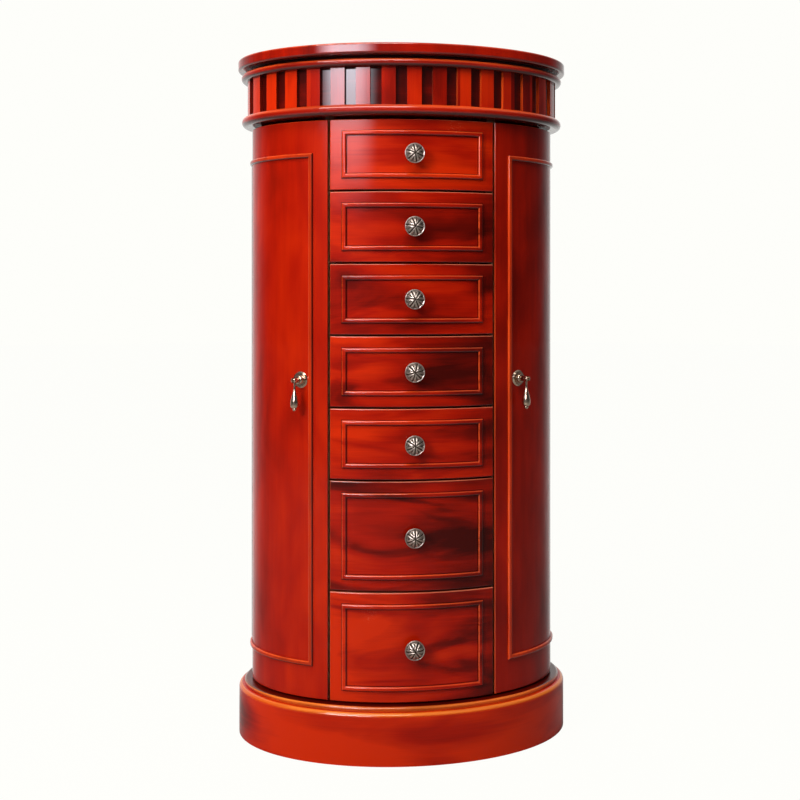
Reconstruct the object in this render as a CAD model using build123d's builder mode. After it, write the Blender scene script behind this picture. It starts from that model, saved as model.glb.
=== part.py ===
import math
import os

from build123d import *

os.makedirs("parts", exist_ok=True)

# Free-standing oval jewellery cabinet with seven drawers, two side doors and a lift-up top.
# Millimetres, +Z up, the front faces -Y, and the origin is the middle of the footprint.
# An "offset" is how far an oval lies outside the faces of the doors and drawer fronts.

# Plan of the body
body_half_width = 227.0
body_half_depth = 144.0
bay_half_width = 117.3        # middle of the gap between a drawer front and a door
door_rear_y = 46.0            # middle of the gap between a door and the fixed back
front_gap = 2.6               # gap round every drawer front and door
panel_thickness = 16.0        # doors and drawer fronts
back_thickness = 12.0
partition_thickness = 12.0
partition_cover = 4.7         # how far a partition reaches past the gap, behind the door
inner_clearance = 1.0         # between what stands inside and the inside of the fronts
edge_round = 1.2              # eased edges of doors and drawer fronts

# Plinth and base board
plinth_offset = 19.3
plinth_inner_offset = -2.0
plinth_height = 73.0
plinth_round = 6.0
lip_offset = 11.0
lip_height = 6.0
lip_round = 3.5
core_depth = 14.0             # of the base board, down inside the plinth
core_clearance = 0.5

# Drawer levels, from the base board up
large_drawer_pitch = 155.6
large_drawer_count = 2
small_drawer_pitch = 101.4
small_drawer_count = 5
cornice_gap = 4.0             # above the top drawer and the doors

# Cornice
band_offset = 1.5
band_thickness = 12.0
top_board_thickness = 12.8
lower_bead_height = 14.8
lower_bead_offset = 15.5
frieze_height = 52.6
upper_bead_height = 11.0
upper_bead_offset = 16.0
dentil_count = 34
dentil_width = 20.0
dentil_thickness = 5.6
lid_seat_clearance = 0.5
bead_flat = 0.2               # flat left between a bead's two roundings

# Lid
lid_gap = 5.0                 # shadow gap between the upper bead and the lid
lid_offset = 20.9
lid_thickness = 15.4
lid_round = 3.0
mirror_thickness = 3.0
mirror_inset = 26.0           # from the inside of the frieze band to the glass
mirror_clearance = 0.3

# Applied mouldings
drawer_moulding_inset = 16.0
door_moulding_side_inset = 21.0
door_moulding_end_inset = 46.0
moulding_width = 6.6
moulding_height = 3.4
moulding_round = 2.3

# Drawer boxes
box_wall = 8.0
box_floor = 5.0
floor_rise = 3.0              # of a drawer's floor above the lower edge of its sides
side_drop = 6.0               # from the top of a front to the top of its sides
rear_clearance = 6.0
runner_width = 6.0
runner_height = 6.0
runner_lift = 2.0             # above the lower edge of the drawer front
runner_clearance = 0.4
lining_thickness = 1.5
lining_drop = 3.0             # from the top of the sides to the top of the lining

# Knobs
knob_radius = 14.0
knob_projection = 21.0
knob_rim_reach = 14.4         # from the drawer front to the outer face of the rim
knob_rim_width = 2.6
knob_dome_radius = 12.6
knob_foot_radius = 7.0
knob_foot_height = 1.6
knob_neck_radius = 4.6
knob_neck_length = 9.0
knob_groove_count = 8
knob_groove_radius = 1.1
screw_radius = 2.0
screw_depth = 6.0
screw_head_radius = 4.2
screw_head_height = 2.4
screw_head_gap = 0.05         # leaves room for the hollow inside of a curved panel
screw_head_room = 1.0         # round a screw's head, in a drawer's lining

# Drop pulls of the doors
pull_edge_distance = 38.4     # from the door's front edge to the pull
pull_height = 531.0
plate_radius = 11.6
plate_thickness = 1.8
step_radius = 8.8
step_height = 1.2
boss_radius = 6.8
boss_length = 4.5
post_radius = 4.0
post_round = 2.6
post_reach = 21.5             # from the door's face to the end of the post
pivot_reach = 16.5            # from the door's face to the drop's pin
slot_width = 3.4
slot_depth = 10.0
pull_pin_radius = 0.9
pin_clearance = 0.06
tongue_thickness = 2.8
tongue_radius = 2.6
pin_end_setback = 0.4         # from the post's side to the pin's end
drop_neck_radius = 1.5
drop_neck_length = 9.0
drop_bulb_radius = 5.9
drop_bulb_level = 33.0        # below the pin
drop_length = 43.5
drop_ball_radius = 3.0

# Hinges
hinge_length = 42.0
lid_hinge_length = 30.0
hinge_end_distance = 90.0     # from a door's end to the middle of its hinge
lid_hinge_x = 42.0
leaf_thickness = 1.1
leaf_width = 13.0
barrel_radius = 3.0
lid_barrel_radius = 2.2
barrel_clearance = 0.4
knuckle_clearance = 0.3
hinge_pin_radius = 1.2
pin_head_height = 1.0

# Inside fittings
rail_size = 9.0
rail_length = 130.0
rail_drop = 26.0              # from the top board to the rail's upper face
hook_count = 6
hook_radius = 1.8
hook_reach = 17.0
hook_ball_radius = 3.0
catch_width = 22.0
catch_depth = 12.0
catch_height = 9.0
catch_level = 838.0
divider_thickness = 5.0
divider_height = 32.0
divider_x = 78.0
divider_clearance = 0.5
roll_count = 7
roll_radius = 9.0
roll_flat = 1.0               # how much of each roll is cut flat where it lies
roll_gap = 1.0
roll_end_clearance = 6.0
roll_end_round = 4.0
tray_lining_height = 58.0

# Heights that follow
base_top = plinth_height + lip_height
bay_bottom = base_top + front_gap / 2
bay_top = bay_bottom + large_drawer_count * large_drawer_pitch + small_drawer_count * small_drawer_pitch
door_bottom = bay_bottom + front_gap / 2
door_top = bay_top - front_gap / 2
cornice_bottom = door_top + cornice_gap
lower_bead_top = cornice_bottom + lower_bead_height
frieze_top = lower_bead_top + frieze_height
upper_bead_top = frieze_top + upper_bead_height
lid_bottom = upper_bead_top + lid_gap
tray_floor = cornice_bottom + top_board_thickness

# Widths that follow
front_half_width = bay_half_width - front_gap / 2
door_edge_x = bay_half_width + front_gap / 2
door_rear_edge_y = door_rear_y - front_gap / 2
pull_x = door_edge_x + pull_edge_distance
partition_outer_x = bay_half_width + partition_cover
partition_inner_x = partition_outer_x - partition_thickness
box_half_width = partition_inner_x - inner_clearance
fit_offset = -panel_thickness - inner_clearance
band_inner_offset = band_offset - band_thickness
beyond = 3 * body_half_width      # a length that clears the whole cabinet


def oval_depth(offset, x):
    """Half depth of the oval at a distance x from the middle."""
    return (body_half_depth + offset) * math.sqrt(1 - (x / (body_half_width + offset)) ** 2)


def oval_width(offset, y):
    """Half width of the oval at a distance y from the middle."""
    return (body_half_width + offset) * math.sqrt(1 - (y / (body_half_depth + offset)) ** 2)


def oval(offset, height):
    """The plan oval, moved out by offset, as a face at a height."""
    with BuildSketch(Plane.XY.offset(height)) as outline:
        Ellipse(body_half_width + offset, body_half_depth + offset)
    return outline.sketch


def outer_rims(part, level):
    """The outermost oval edge at one level of a part: 0 is the lowest level and -1 the highest."""
    levels = part.edges().filter_by(GeomType.ELLIPSE).group_by(Axis.Z)
    return levels[level].sort_by(SortBy.LENGTH)[-1]


def mirrored(part):
    """The same piece for the right-hand side."""
    return mirror(part, about=Plane.YZ)


def together(*parts):
    """Separate solids that share one node."""
    return Compound([solid for part in parts for solid in part.solids()])


# Plinth: a bent board standing on the floor
with BuildPart() as plinth_skirt:
    extrude(oval(plinth_offset, 0), amount=plinth_height)
    extrude(oval(plinth_inner_offset, 0), amount=plinth_height, mode=Mode.SUBTRACT)
    fillet(outer_rims(plinth_skirt, -1), plinth_round)
plinth_skirt.part.label = "plinth_skirt"
export_step(plinth_skirt.part, "parts/plinth_skirt.step")

# Base board: its rebated edge lies on the plinth and its core drops inside
with BuildPart() as base_board:
    extrude(oval(lip_offset, plinth_height), amount=lip_height)
    extrude(oval(plinth_inner_offset - core_clearance, plinth_height), amount=-core_depth)
    fillet(outer_rims(base_board, -1), lip_round)
base_board.part.label = "base_board"
export_step(base_board.part, "parts/base_board.step")

# Partitions between the drawers and the two side compartments
partition_rear_y = oval_depth(-back_thickness, partition_outer_x)
with BuildPart() as left_partition:
    with BuildSketch(Plane.XY.offset(base_top)):
        with Locations((-partition_outer_x, 0)):
            Rectangle(partition_thickness, 2 * body_half_depth, align=(Align.MIN, Align.CENTER))
        Ellipse(body_half_width + fit_offset, body_half_depth + fit_offset, mode=Mode.INTERSECT)
        with Locations((-partition_outer_x, 0)):
            Rectangle(partition_thickness, partition_rear_y, align=(Align.MIN, Align.MIN))
    extrude(amount=cornice_bottom - base_top)
left_partition.part.label = "left_partition"
export_step(left_partition.part, "parts/left_partition.step")

right_partition = mirrored(left_partition.part)
right_partition.label = "right_partition"
export_step(right_partition, "parts/right_partition.step")

# Fixed back: the curved shell from one door hinge round to the other
with BuildPart() as back_shell:
    with BuildSketch(Plane.XY.offset(base_top)):
        Ellipse(body_half_width, body_half_depth)
        Ellipse(body_half_width - back_thickness, body_half_depth - back_thickness, mode=Mode.SUBTRACT)
        with Locations((0, door_rear_y + front_gap / 2)):
            Rectangle(beyond, beyond, align=(Align.CENTER, Align.MIN), mode=Mode.INTERSECT)
    extrude(amount=cornice_bottom - base_top)
back_shell.part.label = "back_shell"
export_step(back_shell.part, "parts/back_shell.step")

# Top board: closes the body and is the floor of the top tray
with BuildPart() as top_board:
    extrude(oval(band_offset, cornice_bottom), amount=top_board_thickness)
top_board.part.label = "top_board"
export_step(top_board.part, "parts/top_board.step")


def half_round_bead(offset, bottom, height):
    """A half-round moulding bent round the frieze band, from its lower edge up."""
    with BuildPart() as bead:
        extrude(oval(offset, bottom), amount=height)
        extrude(oval(band_offset, bottom), amount=height, mode=Mode.SUBTRACT)
        fillet([outer_rims(bead, 0), outer_rims(bead, -1)], (height - bead_flat) / 2)
    return bead.part


# Cornice: two half-round beads with the dentilled frieze between them
lower_cornice_bead = half_round_bead(lower_bead_offset, cornice_bottom, lower_bead_height)
lower_cornice_bead.label = "lower_cornice_bead"
export_step(lower_cornice_bead, "parts/lower_cornice_bead.step")

upper_cornice_bead = half_round_bead(upper_bead_offset, frieze_top, upper_bead_height)
upper_cornice_bead.label = "upper_cornice_bead"
export_step(upper_cornice_bead, "parts/upper_cornice_bead.step")

with BuildPart() as frieze_band:
    band_height = lid_bottom - lid_seat_clearance - tray_floor
    extrude(oval(band_offset, tray_floor), amount=band_height)
    extrude(oval(band_inner_offset, tray_floor), amount=band_height, mode=Mode.SUBTRACT)
frieze_band.part.label = "frieze_band"
export_step(frieze_band.part, "parts/frieze_band.step")


def even_stations(count, offset, samples=3600):
    """Places spread evenly along an oval, with one half a step from the middle of the front."""
    width = body_half_width + offset
    depth = body_half_depth + offset
    turns = [2 * math.pi * i / samples - math.pi / 2 for i in range(samples + 1)]
    points = [(width * math.cos(turn), depth * math.sin(turn)) for turn in turns]
    travelled = [0.0]
    for start, end in zip(points, points[1:]):
        travelled.append(travelled[-1] + math.dist(start, end))
    places = []
    for i in range(count):
        target = (i + 0.5) * travelled[-1] / count
        step = next(k for k, length in enumerate(travelled) if length >= target)
        x, y = points[step]
        normal = math.degrees(math.atan2(y / depth**2, x / width**2))
        places.append(Location((x, y, 0), (0, 0, normal)))
    return places, travelled[-1]


# Dentils: flat blocks applied to the frieze, one of them in the middle of the front
with BuildPart() as dentil_blocks:
    dentil_offset = band_offset + dentil_thickness
    gap_places, dentil_run = even_stations(dentil_count, dentil_offset)
    dentil_gap = dentil_run / dentil_count - dentil_width
    extrude(oval(dentil_offset, lower_bead_top), amount=frieze_height)
    extrude(oval(band_offset, lower_bead_top), amount=frieze_height, mode=Mode.SUBTRACT)
    with BuildSketch(Plane.XY.offset(lower_bead_top)):
        with Locations(gap_places):
            Rectangle(4 * dentil_thickness, dentil_gap)
    extrude(amount=frieze_height, mode=Mode.SUBTRACT)
dentil_blocks.part.label = "dentil_blocks"
export_step(dentil_blocks.part, "parts/dentil_blocks.step")

# Lid with a mirror let into its underside
mirror_offset = band_inner_offset - mirror_inset
with BuildPart() as lid_board:
    extrude(oval(lid_offset, lid_bottom), amount=lid_thickness)
    fillet([outer_rims(lid_board, 0), outer_rims(lid_board, -1)], lid_round)
    mirror_recess = oval(mirror_offset + mirror_clearance, lid_bottom)
    extrude(mirror_recess, amount=mirror_thickness, mode=Mode.SUBTRACT)
lid_board.part.label = "lid_board"
export_step(lid_board.part, "parts/lid_board.step")

with BuildPart() as lid_mirror:
    extrude(oval(mirror_offset, lid_bottom), amount=mirror_thickness)
lid_mirror.part.label = "lid_mirror"
export_step(lid_mirror.part, "parts/lid_mirror.step")

# Top tray: felt lining, dividers and ring rolls
with BuildPart() as tray_lining:
    extrude(oval(band_inner_offset, tray_floor), amount=tray_lining_height)
    lining_core = oval(band_inner_offset - lining_thickness, tray_floor + lining_thickness)
    extrude(lining_core, amount=tray_lining_height, mode=Mode.SUBTRACT)
tray_lining.part.label = "tray_lining"
export_step(tray_lining.part, "parts/tray_lining.step")

well_offset = band_inner_offset - lining_thickness - divider_clearance
well_floor = tray_floor + lining_thickness
with BuildPart() as long_dividers:
    with BuildSketch(Plane.XY.offset(well_floor)):
        with Locations((-divider_x, 0), (divider_x, 0)):
            Rectangle(divider_thickness, 2 * body_half_depth)
        Ellipse(body_half_width + well_offset, body_half_depth + well_offset, mode=Mode.INTERSECT)
    extrude(amount=divider_height)
with BuildPart() as cross_dividers:
    with BuildSketch(Plane.XY.offset(well_floor)):
        Rectangle(2 * body_half_width, divider_thickness)
        Rectangle(2 * divider_x + divider_thickness, divider_thickness, mode=Mode.SUBTRACT)
        Ellipse(body_half_width + well_offset, body_half_depth + well_offset, mode=Mode.INTERSECT)
    extrude(amount=divider_height)
tray_dividers = together(long_dividers.part, cross_dividers.part)
tray_dividers.label = "tray_dividers"
export_step(tray_dividers, "parts/tray_dividers.step")

roll_pitch = 2 * roll_radius + roll_gap
roll_depth = oval_depth(well_offset, divider_x) - roll_end_clearance
with BuildPart() as ring_rolls:
    with BuildSketch(Plane.XZ.offset(-roll_depth)):
        with Locations((0, well_floor + roll_radius - roll_flat)):
            with GridLocations(roll_pitch, 1, roll_count, 1):
                Circle(roll_radius)
    extrude(amount=2 * roll_depth)
    fillet(ring_rolls.edges().filter_by(GeomType.CIRCLE), roll_end_round)
    split(bisect_by=Plane.XY.offset(well_floor))
ring_rolls.part.label = "ring_rolls"
export_step(ring_rolls.part, "parts/ring_rolls.step")

# Where a drop pull stands straight out of its door's face
pull_y = -oval_depth(0, pull_x)
pull_foot = Vector(-pull_x, pull_y, pull_height)
pull_out = Vector(-pull_x / body_half_width**2, pull_y / body_half_depth**2, 0).normalized()
pull_along = Vector(0, 0, 1).cross(pull_out)
pull_face = Plane(origin=pull_foot, x_dir=pull_along, z_dir=pull_out)
pull_pivot = pull_foot + pull_out * pivot_reach
pin_end = Plane(origin=pull_pivot, x_dir=pull_out, z_dir=pull_along)

# Side doors: curved panels with a hole for the pull's screw, and an applied moulding
door_height = door_top - door_bottom
with BuildPart() as left_door_panel:
    with BuildSketch(Plane.XY.offset(door_bottom)):
        Ellipse(body_half_width, body_half_depth)
        Ellipse(body_half_width - panel_thickness, body_half_depth - panel_thickness, mode=Mode.SUBTRACT)
        with Locations((-door_edge_x, door_rear_edge_y)):
            Rectangle(beyond, beyond, align=(Align.MAX, Align.MAX), mode=Mode.INTERSECT)
    extrude(amount=door_height)
    fillet(left_door_panel.faces().sort_by(SortBy.AREA)[-1].edges(), edge_round)
    with BuildSketch(pull_face.offset(panel_thickness / 2)):
        Circle(screw_radius)
    extrude(amount=-2 * panel_thickness, mode=Mode.SUBTRACT)
left_door_panel.part.label = "left_door_panel"
export_step(left_door_panel.part, "parts/left_door_panel.step")

right_door_panel = mirrored(left_door_panel.part)
right_door_panel.label = "right_door_panel"
export_step(right_door_panel, "parts/right_door_panel.step")


def face_place(x, y):
    """A place on the body's oval, turned so that its x axis points straight out."""
    normal = math.degrees(math.atan2(y / body_half_depth**2, x / body_half_width**2))
    return Location((x, y, 0), (0, 0, normal))


front_limit_x = -door_edge_x - door_moulding_side_inset
rear_limit_y = door_rear_edge_y - door_moulding_side_inset
front_limit = face_place(front_limit_x, -oval_depth(0, front_limit_x))
rear_limit = face_place(-oval_width(0, rear_limit_y), rear_limit_y)


def door_strip(inner_offset, outer_offset, shrink, height):
    """A curved strip in plan along the left door, shorter by shrink at both ends."""
    with BuildSketch(Plane.XY.offset(height)) as strip:
        Ellipse(body_half_width + outer_offset, body_half_depth + outer_offset)
        Ellipse(body_half_width + inner_offset, body_half_depth + inner_offset, mode=Mode.SUBTRACT)
        with Locations(front_limit):
            with Locations((0, -shrink)):
                Rectangle(beyond, beyond, align=(Align.CENTER, Align.MAX), mode=Mode.INTERSECT)
        with Locations(rear_limit):
            with Locations((0, shrink)):
                Rectangle(beyond, beyond, align=(Align.CENTER, Align.MIN), mode=Mode.INTERSECT)
    return strip.sketch


with BuildPart() as left_door_moulding:
    lower_edge = door_bottom + door_moulding_end_inset
    moulding_run = door_height - 2 * door_moulding_end_inset
    extrude(door_strip(0, moulding_height, 0, lower_edge), amount=moulding_run)
    window = door_strip(-moulding_height, 2 * moulding_height, moulding_width, lower_edge + moulding_width)
    extrude(window, amount=moulding_run - 2 * moulding_width, mode=Mode.SUBTRACT)
    fillet(left_door_moulding.faces().sort_by(SortBy.AREA)[-1].edges(), moulding_round)
left_door_moulding.part.label = "left_door_moulding"
export_step(left_door_moulding.part, "parts/left_door_moulding.step")

right_door_moulding = mirrored(left_door_moulding.part)
right_door_moulding.label = "right_door_moulding"
export_step(right_door_moulding, "parts/right_door_moulding.step")


def wall_depth(foot, out, thickness):
    """How far a curved panel of that thickness reaches inwards, straight behind a point on its face."""
    width = body_half_width - thickness
    depth = body_half_depth - thickness
    square = (out.X / width) ** 2 + (out.Y / depth) ** 2
    cross = foot.X * out.X / width**2 + foot.Y * out.Y / depth**2
    rest = (foot.X / width) ** 2 + (foot.Y / depth) ** 2 - 1
    return (cross - math.sqrt(cross**2 - square * rest)) / square


def turned(foot, out, draw_profile):
    """A turned piece: its profile is drawn with x along the axis out of the foot and y as radius."""
    with BuildPart() as turning:
        with BuildSketch(Plane(origin=foot, x_dir=out, z_dir=out.cross(Vector(0, 0, 1)))):
            with BuildLine():
                draw_profile()
            make_face()
        revolve(axis=Axis(foot, out))
    return turning.part


def screw(foot, out, wall):
    """A machine screw from behind a panel: its shank ends screw_depth in front of the foot."""
    seat = wall + screw_head_gap
    with BuildPart() as fixing:
        with BuildSketch(Plane(origin=foot - out * seat, z_dir=out)):
            Circle(screw_radius)
        extrude(amount=seat + screw_depth)
        with BuildSketch(Plane(origin=foot - out * seat, z_dir=out)):
            Circle(screw_head_radius)
        extrude(amount=-screw_head_height)
    return fixing.part


def pull_profile():
    boss_start = plate_thickness + step_height
    nose_start = post_reach - post_round
    Polyline(
        (0, 0),
        (0, plate_radius),
        (plate_thickness, plate_radius - plate_thickness),
        (plate_thickness, step_radius),
        (boss_start, step_radius),
        (boss_start, boss_radius),
    )
    boss_end = boss_start + boss_length
    Bezier((boss_start, boss_radius), (boss_end, boss_radius), (boss_end, post_radius))
    Line((boss_end, post_radius), (nose_start, post_radius))
    Bezier((nose_start, post_radius), (post_reach, post_radius), (post_reach, post_radius - post_round))
    Polyline((post_reach, post_radius - post_round), (post_reach, 0), (0, 0))


# Drop pulls: a turned post with a slot and a pin, its screw, and the drop that hangs from the pin
pull_wall = wall_depth(pull_foot, pull_out, panel_thickness)
with BuildPart() as pull_turning:
    add(turned(pull_foot, pull_out, pull_profile))
    with BuildSketch(pull_face.offset(post_reach)):
        Rectangle(slot_width, 4 * post_radius)
    extrude(amount=-slot_depth, mode=Mode.SUBTRACT)
    with BuildSketch(pull_face):
        Circle(screw_radius)
    extrude(amount=screw_depth, mode=Mode.SUBTRACT)
    with BuildSketch(pin_end):
        Circle(pull_pin_radius)
    extrude(amount=2 * post_radius, both=True, mode=Mode.SUBTRACT)
with BuildPart() as pull_pin:
    with BuildSketch(pin_end):
        Circle(pull_pin_radius)
    extrude(amount=post_radius - pin_end_setback, both=True)
left_pull_mount = together(pull_turning.part, pull_pin.part, screw(pull_foot, pull_out, pull_wall))
left_pull_mount.label = "left_pull_mount"
export_step(left_pull_mount, "parts/left_pull_mount.step")

right_pull_mount = mirrored(left_pull_mount)
right_pull_mount.label = "right_pull_mount"
export_step(right_pull_mount, "parts/right_pull_mount.step")


def drop_profile():
    ball_middle = drop_length - drop_ball_radius
    ball_joint = (ball_middle - drop_ball_radius / 2, drop_ball_radius * math.sqrt(3) / 2)
    neck_end = (drop_neck_length, drop_neck_radius)
    bulb = (drop_bulb_level, drop_bulb_radius)
    Polyline((tongue_radius / 2, 0), (tongue_radius / 2, drop_neck_radius), neck_end)
    Spline(neck_end, bulb, tangents=[(1, 0), (1, 0)])
    Spline(bulb, ball_joint, tangents=[(1, 0), (0, -1)])
    ThreePointArc(
        ball_joint,
        (ball_middle + drop_ball_radius / 2, drop_ball_radius * math.sqrt(3) / 2),
        (drop_length, 0),
    )
    Line((drop_length, 0), (tongue_radius / 2, 0))


with BuildPart() as left_pull_drop:
    with BuildSketch(Plane(origin=pull_pivot, x_dir=(0, 0, -1), z_dir=pull_along)):
        with BuildLine():
            drop_profile()
        make_face()
    revolve(axis=Axis(pull_pivot, (0, 0, -1)))
    with BuildSketch(pin_end):
        Circle(tongue_radius)
    extrude(amount=tongue_thickness / 2, both=True)
    with BuildSketch(pin_end):
        Circle(pull_pin_radius + pin_clearance)
    extrude(amount=slot_width, both=True, mode=Mode.SUBTRACT)
left_pull_drop.part.label = "left_pull_drop"
export_step(left_pull_drop.part, "parts/left_pull_drop.step")

right_pull_drop = mirrored(left_pull_drop.part)
right_pull_drop.label = "right_pull_drop"
export_step(right_pull_drop, "parts/right_pull_drop.step")


def hinge_leaf(base, length, gap, barrel, side, spans):
    """One leaf with its knuckles. The base plane's z axis is the pin and its x axis points along the leaf."""
    leaf_start = barrel + knuckle_clearance
    leaf_middle = side * (gap - leaf_thickness) / 2
    with BuildPart() as leaf:
        with BuildSketch(base):
            with Locations((leaf_start, leaf_middle)):
                Rectangle(leaf_width, leaf_thickness, align=(Align.MIN, Align.CENTER))
        extrude(amount=length)
        for low, high in spans:
            with BuildSketch(base.offset(low)):
                Circle(barrel)
                with Locations((0, leaf_middle)):
                    Rectangle(leaf_start, leaf_thickness, align=(Align.MIN, Align.CENTER))
            extrude(amount=high - low)
        with BuildSketch(base):
            Circle(hinge_pin_radius + pin_clearance)
        extrude(amount=length, mode=Mode.SUBTRACT)
    return leaf.part


def hinge_pin(base, length, barrel):
    """A pin through the knuckles, with a head on the barrel's far end."""
    with BuildPart() as pin:
        with BuildSketch(base):
            Circle(hinge_pin_radius)
        extrude(amount=length)
        with BuildSketch(base.offset(length)):
            Circle(barrel - pin_clearance)
        extrude(amount=pin_head_height)
    return pin.part


def hinge(base, length, gap, barrel):
    """The fixed leaf, the pin and the moving leaf, whose one knuckle lies between the fixed leaf's two."""
    lower = (length - knuckle_clearance) / 3
    upper = length - lower
    fixed = hinge_leaf(base, length, gap, barrel, 1, [(0, lower), (upper, length)])
    span = (lower + knuckle_clearance, upper - knuckle_clearance)
    moving = hinge_leaf(base, length, gap, barrel, -1, [span])
    return fixed, hinge_pin(base, length, barrel), moving


# Hinges of the left door, one above the other at its rear edge, and of the lid, side by side
door_hinge_x = -oval_width(0, door_rear_y) - barrel_radius - barrel_clearance
door_hinge_levels = [door_bottom + hinge_end_distance, door_top - hinge_end_distance]
door_hinges = [
    hinge(
        Plane(origin=(door_hinge_x, door_rear_y, level - hinge_length / 2), x_dir=(1, 0, 0), z_dir=(0, 0, 1)),
        hinge_length,
        front_gap,
        barrel_radius,
    )
    for level in door_hinge_levels
]
lid_hinge_y = body_half_depth + upper_bead_offset + lid_barrel_radius + barrel_clearance
lid_hinge_z = upper_bead_top + lid_gap / 2
lid_hinges = [
    hinge(
        Plane(origin=(x - lid_hinge_length / 2, lid_hinge_y, lid_hinge_z), x_dir=(0, -1, 0), z_dir=(1, 0, 0)),
        lid_hinge_length,
        lid_gap,
        lid_barrel_radius,
    )
    for x in (-lid_hinge_x, lid_hinge_x)
]
left_leaves = [fixed for fixed, pin, moving in door_hinges]
left_pins = [pin for fixed, pin, moving in door_hinges]
hinge_case_leaves = together(
    *left_leaves,
    *[mirrored(leaf) for leaf in left_leaves],
    *[fixed for fixed, pin, moving in lid_hinges],
)
hinge_case_leaves.label = "hinge_case_leaves"
export_step(hinge_case_leaves, "parts/hinge_case_leaves.step")

hinge_pins = together(
    *left_pins,
    *[mirrored(pin) for pin in left_pins],
    *[pin for fixed, pin, moving in lid_hinges],
)
hinge_pins.label = "hinge_pins"
export_step(hinge_pins, "parts/hinge_pins.step")

left_door_hinge_leaves = together(*[moving for fixed, pin, moving in door_hinges])
left_door_hinge_leaves.label = "left_door_hinge_leaves"
export_step(left_door_hinge_leaves, "parts/left_door_hinge_leaves.step")

right_door_hinge_leaves = mirrored(left_door_hinge_leaves)
right_door_hinge_leaves.label = "right_door_hinge_leaves"
export_step(right_door_hinge_leaves, "parts/right_door_hinge_leaves.step")

lid_hinge_leaves = together(*[moving for fixed, pin, moving in lid_hinges])
lid_hinge_leaves.label = "lid_hinge_leaves"
export_step(lid_hinge_leaves, "parts/lid_hinge_leaves.step")

# Necklace racks: a bar on the outside of each partition, with turned pegs
rail_top = cornice_bottom - rail_drop


def peg_profile():
    ball_joint = hook_reach - math.sqrt(hook_ball_radius**2 - hook_radius**2)
    peg_end = hook_reach + hook_ball_radius
    Polyline((-rail_size / 2, 0), (-rail_size / 2, hook_radius), (ball_joint, hook_radius))
    ThreePointArc((ball_joint, hook_radius), (hook_reach, hook_ball_radius), (peg_end, 0))
    Line((peg_end, 0), (-rail_size / 2, 0))


with BuildPart() as left_rack:
    with BuildSketch(Plane.XY.offset(rail_top - rail_size)):
        with Locations((-partition_outer_x, 0)):
            Rectangle(rail_size, rail_length, align=(Align.MAX, Align.CENTER))
    extrude(amount=rail_size)
    for i in range(hook_count):
        peg_y = (i - (hook_count - 1) / 2) * rail_length / hook_count
        peg_foot = Vector(-partition_outer_x - rail_size, peg_y, rail_top - rail_size / 2)
        add(turned(peg_foot, Vector(-1, 0, 0), peg_profile))
necklace_racks = together(left_rack.part, mirrored(left_rack.part))
necklace_racks.label = "necklace_racks"
export_step(necklace_racks, "parts/necklace_racks.step")

# Magnetic catches: a block on the outside of each partition, just behind the closed door
catch_front_y = -oval_depth(fit_offset, partition_outer_x + catch_depth)
with BuildPart() as left_catch:
    with BuildSketch(Plane.XY.offset(catch_level)):
        with Locations((-partition_outer_x, catch_front_y)):
            Rectangle(catch_depth, catch_width, align=(Align.MAX, Align.MIN))
    extrude(amount=catch_height)
magnetic_catches = together(left_catch.part, mirrored(left_catch.part))
magnetic_catches.label = "magnetic_catches"
export_step(magnetic_catches, "parts/magnetic_catches.step")

# Drawer levels from the top drawer, number 1, down
drawer_pitches = [small_drawer_pitch] * small_drawer_count + [large_drawer_pitch] * large_drawer_count
drawer_levels = []
level = bay_top
for pitch in drawer_pitches:
    drawer_levels.append((level - pitch + front_gap / 2, level - front_gap / 2))
    level -= pitch

# Runners: strips on the partitions that carry the sides of the drawers
box_rear_y = oval_depth(-back_thickness, box_half_width) - rear_clearance
left_runners = []
for front_bottom, front_top in drawer_levels:
    with BuildPart() as runner:
        with BuildSketch(Plane.XY.offset(front_bottom + runner_lift)):
            with Locations((-partition_inner_x, box_rear_y)):
                Rectangle(runner_width, 2 * body_half_depth, align=(Align.MIN, Align.MAX))
            Ellipse(body_half_width + fit_offset, body_half_depth + fit_offset, mode=Mode.INTERSECT)
        extrude(amount=runner_height)
    left_runners.append(runner.part)
drawer_runners = together(*left_runners, *[mirrored(runner) for runner in left_runners])
drawer_runners.label = "drawer_runners"
export_step(drawer_runners, "parts/drawer_runners.step")


def drawer_well(inset, height):
    """The inside of a drawer in plan, between its sides, its back and its curved front."""
    half_width = box_half_width - box_wall - inset
    with BuildSketch(Plane.XY.offset(height)) as well:
        with Locations((0, box_rear_y - box_wall - inset)):
            Rectangle(2 * half_width, 2 * body_half_depth, align=(Align.CENTER, Align.MAX))
        Ellipse(
            body_half_width - panel_thickness - inset,
            body_half_depth - panel_thickness - inset,
            mode=Mode.INTERSECT,
        )
    return well.sketch


def dome_radius(rise, radius):
    """Radius of the ball whose cap has that rise and that rim."""
    return (rise**2 + radius**2) / (2 * rise)


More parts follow.
